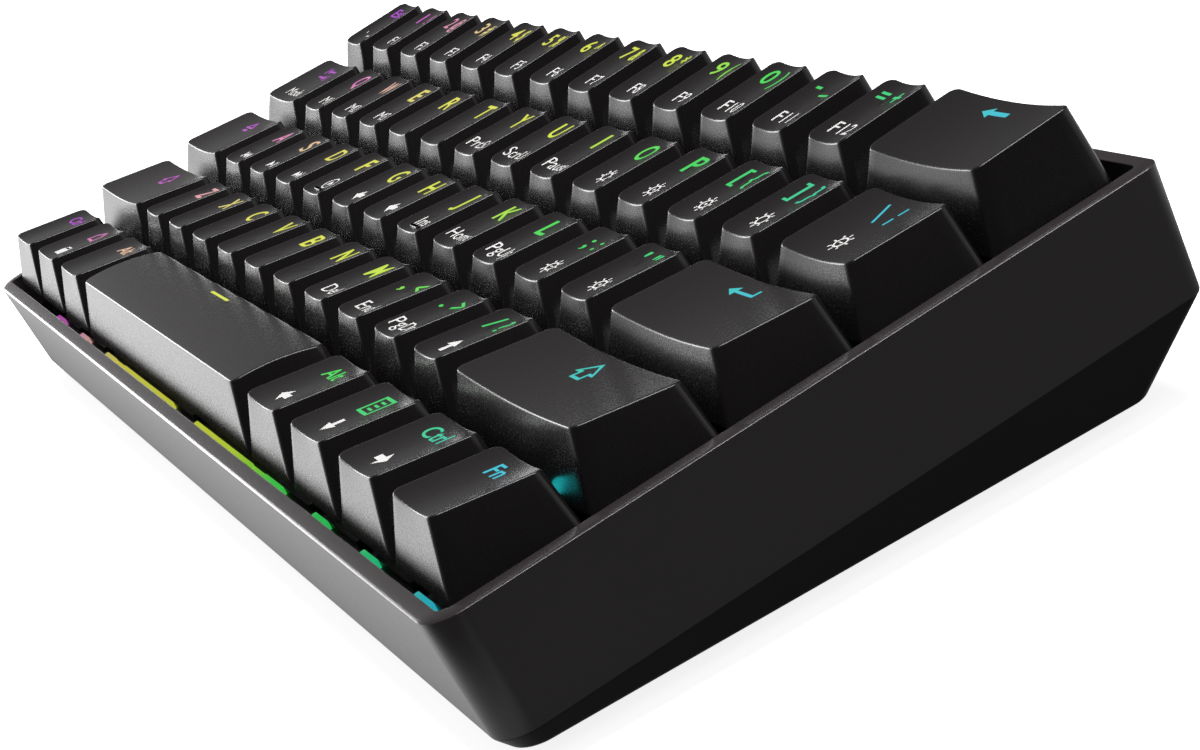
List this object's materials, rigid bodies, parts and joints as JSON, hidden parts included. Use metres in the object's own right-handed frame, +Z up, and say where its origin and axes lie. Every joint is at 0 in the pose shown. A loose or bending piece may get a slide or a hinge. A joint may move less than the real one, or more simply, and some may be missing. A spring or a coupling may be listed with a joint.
{
  "type": "compact keyboard",
  "caption": "Compact mechanical keyboard: sprung keys in staggered rows on a steel plate, set in a moulded tray case with a wedge-shaped underside.",
  "frame": {"origin": "on the table under the centre of the case's footprint, where the feet stand", "axes": "+X runs along the rows to the right-hand end, +Y away from the person typing, +Z up from the table"},
  "size_m": [0.293, 0.1028, 0.0373],
  "materials": {
    "case": "satin black moulded plastic",
    "plate": "black powder-coated steel",
    "housing": "smooth black plastic",
    "board": "dark solder mask on glass-fibre laminate",
    "socket": "bright plated steel",
    "screw": "bright plated steel",
    "key_cap": "fine-grained matt black plastic with clear and white legends",
    "foot": "matt black rubber"
  },
  "bodies": {
    "base": {"case_tray": "case", "switch_plate": "plate", "switch_housings": "housing", "circuit_board": "board", "usb_socket": "socket", "screw_1": "screw", "screw_2": "screw", "screw_3": "screw", "screw_4": "screw", "foot_front": "foot", "foot_rear": "foot"},
    "key_esc": {"key_esc": "key_cap"},
    "key_1_2": {"key_1_2": "key_cap"},
    "key_3_4": {"key_3_4": "key_cap"},
    "key_5_6": {"key_5_6": "key_cap"},
    "key_7": {"key_7": "key_cap"},
    "key_8": {"key_8": "key_cap"},
    "key_9": {"key_9": "key_cap"},
    "key_0": {"key_0": "key_cap"},
    "key_minus": {"key_minus": "key_cap"},
    "key_equals": {"key_equals": "key_cap"},
    "key_backspace": {"key_backspace": "key_cap"},
    "key_tab": {"key_tab": "key_cap"},
    "key_q_w": {"key_q_w": "key_cap"},
    "key_e_r": {"key_e_r": "key_cap"},
    "key_t_y": {"key_t_y": "key_cap"},
    "key_u": {"key_u": "key_cap"},
    "key_i": {"key_i": "key_cap"},
    "key_o": {"key_o": "key_cap"},
    "key_p": {"key_p": "key_cap"},
    "key_left_bracket": {"key_left_bracket": "key_cap"},
    "key_right_bracket": {"key_right_bracket": "key_cap"},
    "key_backslash": {"key_backslash": "key_cap"},
    "key_caps_lock": {"key_caps_lock": "key_cap"},
    "key_a_s": {"key_a_s": "key_cap"},
    "key_d_f": {"key_d_f": "key_cap"},
    "key_g_h": {"key_g_h": "key_cap"},
    "key_j": {"key_j": "key_cap"},
    "key_k": {"key_k": "key_cap"},
    "key_l": {"key_l": "key_cap"},
    "key_semicolon": {"key_semicolon": "key_cap"},
    "key_quote": {"key_quote": "key_cap"},
    "key_enter": {"key_enter": "key_cap"},
    "key_left_shift": {"key_left_shift": "key_cap"},
    "key_z_x": {"key_z_x": "key_cap"},
    "key_c_v": {"key_c_v": "key_cap"},
    "key_b_n": {"key_b_n": "key_cap"},
    "key_m": {"key_m": "key_cap"},
    "key_comma": {"key_comma": "key_cap"},
    "key_period": {"key_period": "key_cap"},
    "key_slash": {"key_slash": "key_cap"},
    "key_right_shift": {"key_right_shift": "key_cap"},
    "key_left_control": {"key_left_control": "key_cap"},
    "key_left_super": {"key_left_super": "key_cap"},
    "key_left_alt": {"key_left_alt": "key_cap"},
    "key_space": {"key_space": "key_cap"},
    "key_right_alt": {"key_right_alt": "key_cap"},
    "key_menu": {"key_menu": "key_cap"},
    "key_right_control": {"key_right_control": "key_cap"},
    "key_function": {"key_function": "key_cap"}
  },
  "joints": [
    {"name": "press_enter", "type": "slide", "parent": "base", "child": "key_enter", "axis": [0, 0.068, -0.9977], "range_m": [0, 0.004], "stiffness_N_per_m": 73.5, "springref_m": -0.0041},
    {"name": "press_space", "type": "slide", "parent": "base", "child": "key_space", "axis": [0, 0.068, -0.9977], "range_m": [0, 0.004], "stiffness_N_per_m": 73.5, "springref_m": -0.0041},
    {"name": "press_right_shift", "type": "slide", "parent": "base", "child": "key_right_shift", "axis": [0, 0.068, -0.9977], "range_m": [0, 0.004], "stiffness_N_per_m": 73.5, "springref_m": -0.0041},
    {"name": "press_backspace", "type": "slide", "parent": "base", "child": "key_backspace", "axis": [0, 0.068, -0.9977], "range_m": [0, 0.004], "stiffness_N_per_m": 73.5, "springref_m": -0.0041},
    {"name": "press_esc", "type": "slide", "parent": "base", "child": "key_esc", "axis": [0, 0.068, -0.9977], "range_m": [0, 0.004], "stiffness_N_per_m": 73.5, "springref_m": -0.0041},
    {"name": "press_q_w", "type": "slide", "parent": "base", "child": "key_q_w", "axis": [0, 0.068, -0.9977], "range_m": [0, 0.004], "stiffness_N_per_m": 73.5, "springref_m": -0.0041},
    {"name": "press_left_shift", "type": "slide", "parent": "base", "child": "key_left_shift", "axis": [0, 0.068, -0.9977], "range_m": [0, 0.004], "stiffness_N_per_m": 73.5, "springref_m": -0.0041},
    {"name": "press_caps_lock", "type": "slide", "parent": "base", "child": "key_caps_lock", "axis": [0, 0.068, -0.9977], "range_m": [0, 0.004], "stiffness_N_per_m": 73.5, "springref_m": -0.0041},
    {"name": "press_tab", "type": "slide", "parent": "base", "child": "key_tab", "axis": [0, 0.068, -0.9977], "range_m": [0, 0.004], "stiffness_N_per_m": 73.5, "springref_m": -0.0041},
    {"name": "press_left_control", "type": "slide", "parent": "base", "child": "key_left_control", "axis": [0, 0.068, -0.9977], "range_m": [0, 0.004], "stiffness_N_per_m": 73.5, "springref_m": -0.0041},
    {"name": "press_function", "type": "slide", "parent": "base", "child": "key_function", "axis": [0, 0.068, -0.9977], "range_m": [0, 0.004], "stiffness_N_per_m": 73.5, "springref_m": -0.0041},
    {"name": "press_backslash", "type": "slide", "parent": "base", "child": "key_backslash", "axis": [0, 0.068, -0.9977], "range_m": [0, 0.004], "stiffness_N_per_m": 73.5, "springref_m": -0.0041},
    {"name": "press_right_control", "type": "slide", "parent": "base", "child": "key_right_control", "axis": [0, 0.068, -0.9977], "range_m": [0, 0.004], "stiffness_N_per_m": 73.5, "springref_m": -0.0041},
    {"name": "press_right_bracket", "type": "slide", "parent": "base", "child": "key_right_bracket", "axis": [0, 0.068, -0.9977], "range_m": [0, 0.004], "stiffness_N_per_m": 73.5, "springref_m": -0.0041},
    {"name": "press_menu", "type": "slide", "parent": "base", "child": "key_menu", "axis": [0, 0.068, -0.9977], "range_m": [0, 0.004], "stiffness_N_per_m": 73.5, "springref_m": -0.0041},
    {"name": "press_quote", "type": "slide", "parent": "base", "child": "key_quote", "axis": [0, 0.068, -0.9977], "range_m": [0, 0.004], "stiffness_N_per_m": 73.5, "springref_m": -0.0041},
    {"name": "press_slash", "type": "slide", "parent": "base", "child": "key_slash", "axis": [0, 0.068, -0.9977], "range_m": [0, 0.004], "stiffness_N_per_m": 73.5, "springref_m": -0.0041},
    {"name": "press_equals", "type": "slide", "parent": "base", "child": "key_equals", "axis": [0, 0.068, -0.9977], "range_m": [0, 0.004], "stiffness_N_per_m": 73.5, "springref_m": -0.0041},
    {"name": "press_left_bracket", "type": "slide", "parent": "base", "child": "key_left_bracket", "axis": [0, 0.068, -0.9977], "range_m": [0, 0.004], "stiffness_N_per_m": 73.5, "springref_m": -0.0041},
    {"name": "press_semicolon", "type": "slide", "parent": "base", "child": "key_semicolon", "axis": [0, 0.068, -0.9977], "range_m": [0, 0.004], "stiffness_N_per_m": 73.5, "springref_m": -0.0041},
    {"name": "press_right_alt", "type": "slide", "parent": "base", "child": "key_right_alt", "axis": [0, 0.068, -0.9977], "range_m": [0, 0.004], "stiffness_N_per_m": 73.5, "springref_m": -0.0041},
    {"name": "press_period", "type": "slide", "parent": "base", "child": "key_period", "axis": [0, 0.068, -0.9977], "range_m": [0, 0.004], "stiffness_N_per_m": 73.5, "springref_m": -0.0041},
    {"name": "press_minus", "type": "slide", "parent": "base", "child": "key_minus", "axis": [0, 0.068, -0.9977], "range_m": [0, 0.004], "stiffness_N_per_m": 73.5, "springref_m": -0.0041},
    {"name": "press_p", "type": "slide", "parent": "base", "child": "key_p", "axis": [0, 0.068, -0.9977], "range_m": [0, 0.004], "stiffness_N_per_m": 73.5, "springref_m": -0.0041},
    {"name": "press_l", "type": "slide", "parent": "base", "child": "key_l", "axis": [0, 0.068, -0.9977], "range_m": [0, 0.004], "stiffness_N_per_m": 73.5, "springref_m": -0.0041},
    {"name": "press_0", "type": "slide", "parent": "base", "child": "key_0", "axis": [0, 0.068, -0.9977], "range_m": [0, 0.004], "stiffness_N_per_m": 73.5, "springref_m": -0.0041},
    {"name": "press_comma", "type": "slide", "parent": "base", "child": "key_comma", "axis": [0, 0.068, -0.9977], "range_m": [0, 0.004], "stiffness_N_per_m": 73.5, "springref_m": -0.0041},
    {"name": "press_o", "type": "slide", "parent": "base", "child": "key_o", "axis": [0, 0.068, -0.9977], "range_m": [0, 0.004], "stiffness_N_per_m": 73.5, "springref_m": -0.0041},
    {"name": "press_k", "type": "slide", "parent": "base", "child": "key_k", "axis": [0, 0.068, -0.9977], "range_m": [0, 0.004], "stiffness_N_per_m": 73.5, "springref_m": -0.0041},
    {"name": "press_9", "type": "slide", "parent": "base", "child": "key_9", "axis": [0, 0.068, -0.9977], "range_m": [0, 0.004], "stiffness_N_per_m": 73.5, "springref_m": -0.0041},
    {"name": "press_m", "type": "slide", "parent": "base", "child": "key_m", "axis": [0, 0.068, -0.9977], "range_m": [0, 0.004], "stiffness_N_per_m": 73.5, "springref_m": -0.0041},
    {"name": "press_i", "type": "slide", "parent": "base", "child": "key_i", "axis": [0, 0.068, -0.9977], "range_m": [0, 0.004], "stiffness_N_per_m": 73.5, "springref_m": -0.0041},
    {"name": "press_j", "type": "slide", "parent": "base", "child": "key_j", "axis": [0, 0.068, -0.9977], "range_m": [0, 0.004], "stiffness_N_per_m": 73.5, "springref_m": -0.0041},
    {"name": "press_8", "type": "slide", "parent": "base", "child": "key_8", "axis": [0, 0.068, -0.9977], "range_m": [0, 0.004], "stiffness_N_per_m": 73.5, "springref_m": -0.0041},
    {"name": "press_u", "type": "slide", "parent": "base", "child": "key_u", "axis": [0, 0.068, -0.9977], "range_m": [0, 0.004], "stiffness_N_per_m": 73.5, "springref_m": -0.0041},
    {"name": "press_b_n", "type": "slide", "parent": "base", "child": "key_b_n", "axis": [0, 0.068, -0.9977], "range_m": [0, 0.004], "stiffness_N_per_m": 73.5, "springref_m": -0.0041},
    {"name": "press_7", "type": "slide", "parent": "base", "child": "key_7", "axis": [0, 0.068, -0.9977], "range_m": [0, 0.004], "stiffness_N_per_m": 73.5, "springref_m": -0.0041},
    {"name": "press_g_h", "type": "slide", "parent": "base", "child": "key_g_h", "axis": [0, 0.068, -0.9977], "range_m": [0, 0.004], "stiffness_N_per_m": 73.5, "springref_m": -0.0041},
    {"name": "press_t_y", "type": "slide", "parent": "base", "child": "key_t_y", "axis": [0, 0.068, -0.9977], "range_m": [0, 0.004], "stiffness_N_per_m": 73.5, "springref_m": -0.0041},
    {"name": "press_5_6", "type": "slide", "parent": "base", "child": "key_5_6", "axis": [0, 0.068, -0.9977], "range_m": [0, 0.004], "stiffness_N_per_m": 73.5, "springref_m": -0.0041},
    {"name": "press_c_v", "type": "slide", "parent": "base", "child": "key_c_v", "axis": [0, 0.068, -0.9977], "range_m": [0, 0.004], "stiffness_N_per_m": 73.5, "springref_m": -0.0041},
    {"name": "press_d_f", "type": "slide", "parent": "base", "child": "key_d_f", "axis": [0, 0.068, -0.9977], "range_m": [0, 0.004], "stiffness_N_per_m": 73.5, "springref_m": -0.0041},
    {"name": "press_e_r", "type": "slide", "parent": "base", "child": "key_e_r", "axis": [0, 0.068, -0.9977], "range_m": [0, 0.004], "stiffness_N_per_m": 73.5, "springref_m": -0.0041},
    {"name": "press_3_4", "type": "slide", "parent": "base", "child": "key_3_4", "axis": [0, 0.068, -0.9977], "range_m": [0, 0.004], "stiffness_N_per_m": 73.5, "springref_m": -0.0041},
    {"name": "press_z_x", "type": "slide", "parent": "base", "child": "key_z_x", "axis": [0, 0.068, -0.9977], "range_m": [0, 0.004], "stiffness_N_per_m": 73.5, "springref_m": -0.0041},
    {"name": "press_left_alt", "type": "slide", "parent": "base", "child": "key_left_alt", "axis": [0, 0.068, -0.9977], "range_m": [0, 0.004], "stiffness_N_per_m": 73.5, "springref_m": -0.0041},
    {"name": "press_a_s", "type": "slide", "parent": "base", "child": "key_a_s", "axis": [0, 0.068, -0.9977], "range_m": [0, 0.004], "stiffness_N_per_m": 73.5, "springref_m": -0.0041},
    {"name": "press_left_super", "type": "slide", "parent": "base", "child": "key_left_super", "axis": [0, 0.068, -0.9977], "range_m": [0, 0.004], "stiffness_N_per_m": 73.5, "springref_m": -0.0041},
    {"name": "press_1_2", "type": "slide", "parent": "base", "child": "key_1_2", "axis": [0, 0.068, -0.9977], "range_m": [0, 0.004], "stiffness_N_per_m": 73.5, "springref_m": -0.0041}
  ]
}
